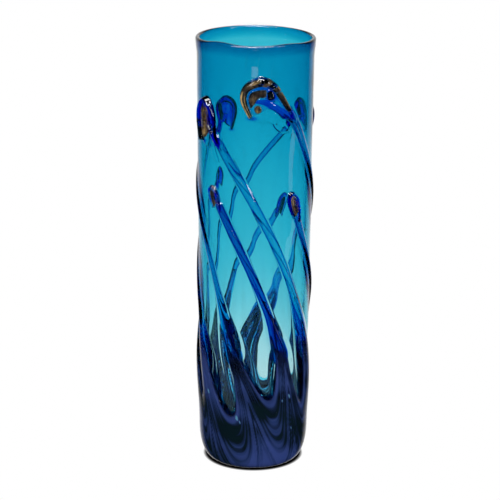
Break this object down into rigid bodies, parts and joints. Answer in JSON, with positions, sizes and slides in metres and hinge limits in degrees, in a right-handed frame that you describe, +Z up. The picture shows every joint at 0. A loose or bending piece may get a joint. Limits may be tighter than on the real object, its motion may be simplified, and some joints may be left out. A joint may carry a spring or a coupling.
{
  "type": "hand blown art glass vase",
  "caption": "Tall cylinder vase of blown glass, blue-green inside and clear outside, with cobalt stems twisting up from a cobalt base to silver-tipped buds.",
  "frame": {"origin": "centre of the base, on the surface it stands on", "axes": "+Z up along the vase's axis; -Y towards the viewer of the picture, +X to that viewer's right"},
  "size_m": [0.096, 0.0995, 0.35],
  "materials": {
    "teal_glass": "transparent blue-green lining",
    "clear_glass": "clear, fire polished",
    "cobalt_gather": "dense streaky cobalt, fire polished",
    "cobalt_stem": "transparent cobalt, fire polished",
    "cobalt_head": "dense cobalt, fire polished",
    "silver_glass": "silver-bearing glass with a bronze lustre"
  },
  "bodies": {
    "root": {"teal_lining": "teal_glass", "clear_casing": "clear_glass", "cobalt_cup": "cobalt_gather", "stem_left_tall": "cobalt_stem", "stem_left_short": "cobalt_stem", "stem_front_tall": "cobalt_stem", "stem_right_short": "cobalt_stem", "stem_back_right_tall": "cobalt_stem", "stem_back_right_short": "cobalt_stem", "stem_back_left_tall": "cobalt_stem", "stem_back_left_short": "cobalt_stem", "head_left_tall": "cobalt_head", "head_left_short": "cobalt_head", "head_front_tall": "cobalt_head", "head_right_short": "cobalt_head", "head_back_right_tall": "cobalt_head", "head_back_right_short": "cobalt_head", "head_back_left_tall": "cobalt_head", "head_back_left_short": "cobalt_head", "silver_bit_left_tall": "silver_glass", "silver_bit_left_short": "silver_glass", "silver_bit_front_tall": "silver_glass", "silver_bit_right_short": "silver_glass", "silver_bit_back_right_tall": "silver_glass", "silver_bit_back_right_short": "silver_glass", "silver_bit_back_left_tall": "silver_glass", "silver_bit_back_left_short": "silver_glass"}
  },
  "joints": []
}
